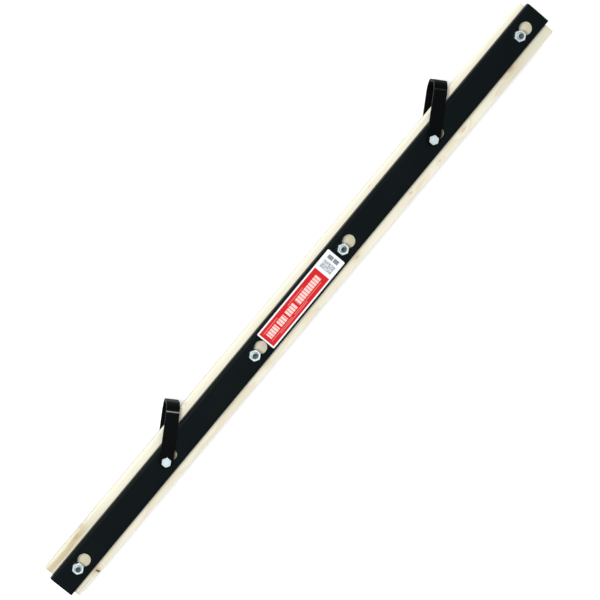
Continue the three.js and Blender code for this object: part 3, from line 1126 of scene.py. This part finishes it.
def strap_outline(settings, height):
    """Side view of a bail: legs along X from the eye, the cross strap upright at the far end."""
    back = -settings.width / 2
    far = settings.reach + settings.gauge
    bend, inner = settings.bend, settings.bend - settings.gauge
    near_bend = far - bend
    steps = 24
    outline = [(back, 0)]
    outline += arc(near_bend, bend, bend, -90, 0, steps)
    outline += arc(near_bend, height - bend, bend, 0, 90, steps)
    outline += [(back, height), (back, height - settings.gauge)]
    outline += arc(near_bend, height - bend, inner, 90, 0, steps)
    outline += arc(near_bend, bend, inner, 0, -90, steps)
    outline += [(back, settings.gauge)]
    return outline


def bail_blank(settings, height):
    """A bail in its own frame: pivot on the Z axis, legs along +Y, back on z = 0."""
    outline = strap_outline(settings, height)
    half = settings.width / 2
    return skin([[Vector((x, y, z)) for y, z in outline] for x in (half, -half)])


def bail_trim(settings, height):
    """The plan of a bail, to round the ends of its legs."""
    half = settings.width / 2
    margin = 3 * MM
    far = settings.reach + settings.gauge + margin
    outline = [(half + margin, far), (-half - margin, far), (-half - margin, 0)]
    outline += arc(0, 0, half - 0.01 * MM, 180, 360, 36)
    outline += [(half + margin, 0)]
    return prism(outline, -margin, height + margin)


# How strongly each bail's painted glint, a line of bare steel across its bend standing in for a highlight,
# shows
PAINTED_GLINT_AMOUNT = {"left": 0.85, "right": 0.06}


class STRETCHER_OT_bails(bpy.types.Operator):
    """Build the two strap bails"""
    bl_idname = "stretcher.bails"
    bl_label = "Bails"

    def execute(self, context):
        settings = context.scene.stretcher_bail
        paint = enamel("strap_enamel", settings.paint, gloss=0.46, sheen=0.03, chips=0.22, seed=41)
        for side, x in zip(BAIL_SIDES, BAIL_X):
            node = f"bail_{side}"
            low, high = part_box(node)
            height = high.z - low.z
            strap = object_of(f"{node}_strap", bail_blank(settings, height))
            carve(strap, [bail_trim(settings, height)], "INTERSECT")
            carve(strap, [round_hole(0, settings.eye, 2 * height)])
            soften(strap, settings.edge, angle=50, segments=3)
            mark_painted_glint(strap.data, settings, height, PAINTED_GLINT_AMOUNT[side])
            at = Matrix.Translation((x, 0, low.z)) @ Matrix.Rotation(settings.lean, 4, "Z")
            place_piece(strap, paint, node, smooth=35, at=at)
        return {"FINISHED"}


# -------- stage

FLOOR_HALF = 6.0
SKY_STRENGTH = 0.70
# Each light's name, place, size and power
LIGHTS = (("key", (-0.50, 1.20, 4.1), 1.0, 108), ("glint", (2.0, 1.0, 2.9), 0.4, 14))


def area_light(name, place, size, power):
    """A soft square light at place, facing the origin."""
    lamp = bpy.data.lights.new(name, "AREA")
    lamp.shape = "SQUARE"
    lamp.size = size
    lamp.energy = power
    made = add_object(name, lamp)
    made.location = place
    made.rotation_euler = (-Vector(place)).to_track_quat("-Z", "Y").to_euler()


def add_camera(settings):
    """The camera, turned from square on toward the bails and rolled so that the bar slopes."""
    target = Vector((0, 0, FRONT_FACE_Z))
    back = Vector((0, math.sin(settings.tilt), math.cos(settings.tilt)))
    across = Vector((0, math.cos(settings.tilt), -math.sin(settings.tilt)))
    along = Vector((1, 0, 0))
    right = along * math.cos(settings.roll) - across * math.sin(settings.roll)
    up = along * math.sin(settings.roll) + across * math.cos(settings.roll)
    turn = Matrix((right, up, back)).transposed().to_4x4()
    lens = bpy.data.cameras.new("camera")
    lens.lens = settings.lens
    lens.clip_end = 50
    camera = add_object("camera", lens)
    camera.matrix_world = Matrix.Translation(target + back * settings.distance) @ turn
    bpy.context.scene.camera = camera


class STRETCHER_OT_stage(bpy.types.Operator):
    """Build the floor, the soft lights and the camera"""
    bl_idname = "stretcher.stage"
    bl_label = "Stage"

    def execute(self, context):
        settings = context.scene.stretcher_stage
        floor_z = CAD_BOUNDS[0][2] - 0.2 * MM
        corners = ((-1, -1), (1, -1), (1, 1), (-1, 1))
        bm = bmesh.new()
        bm.faces.new([bm.verts.new((x * FLOOR_HALF, y * FLOOR_HALF, floor_z)) for x, y in corners])
        floor = object_of("floor", bm)
        floor.data.materials.append(stage_finish(settings.floor))

        for light in LIGHTS:
            area_light(*light)
        world = bpy.data.worlds.new("soft_sky")
        world.use_nodes = True
        sky = world.node_tree.nodes["Background"]
        sky.inputs["Color"].default_value = (0.95, 0.98, 1.0, 1)
        sky.inputs["Strength"].default_value = SKY_STRENGTH
        context.scene.world = world
        context.scene.view_settings.view_transform = "Standard"
        add_camera(settings)
        return {"FINISHED"}


class STRETCHER_PT_pieces(bpy.types.Panel):
    """Every build step, in order"""
    bl_idname = "STRETCHER_PT_pieces"
    bl_label = "Fence stretcher bar"
    bl_space_type = "VIEW_3D"
    bl_region_type = "UI"
    bl_category = "Stretcher"

    def draw(self, context):
        for operator in OPERATORS:
            self.layout.operator(operator.bl_idname)


OPERATORS = (
    STRETCHER_OT_stage,
    STRETCHER_OT_channels,
    STRETCHER_OT_board,
    STRETCHER_OT_label,
    STRETCHER_OT_clamp_bolts,
    STRETCHER_OT_clamp_nuts,
    STRETCHER_OT_bails,
    STRETCHER_OT_bail_hardware,
)


def register():
    for group in GROUPS.values():
        bpy.utils.register_class(group)
    for operator in OPERATORS:
        bpy.utils.register_class(operator)
    bpy.utils.register_class(STRETCHER_PT_pieces)
    for name, group in GROUPS.items():
        setattr(bpy.types.Scene, name, PointerProperty(type=group))


def unregister():
    for name in GROUPS:
        delattr(bpy.types.Scene, name)
    bpy.utils.unregister_class(STRETCHER_PT_pieces)
    for operator in reversed(OPERATORS):
        bpy.utils.unregister_class(operator)
    for group in reversed(GROUPS.values()):
        bpy.utils.unregister_class(group)


def main():
    register()
    for operator in OPERATORS:
        group, step = operator.bl_idname.split(".")
        getattr(getattr(bpy.ops, group), step)()
    bpy.context.view_layer.update()


if __name__ == "__main__":
    main()
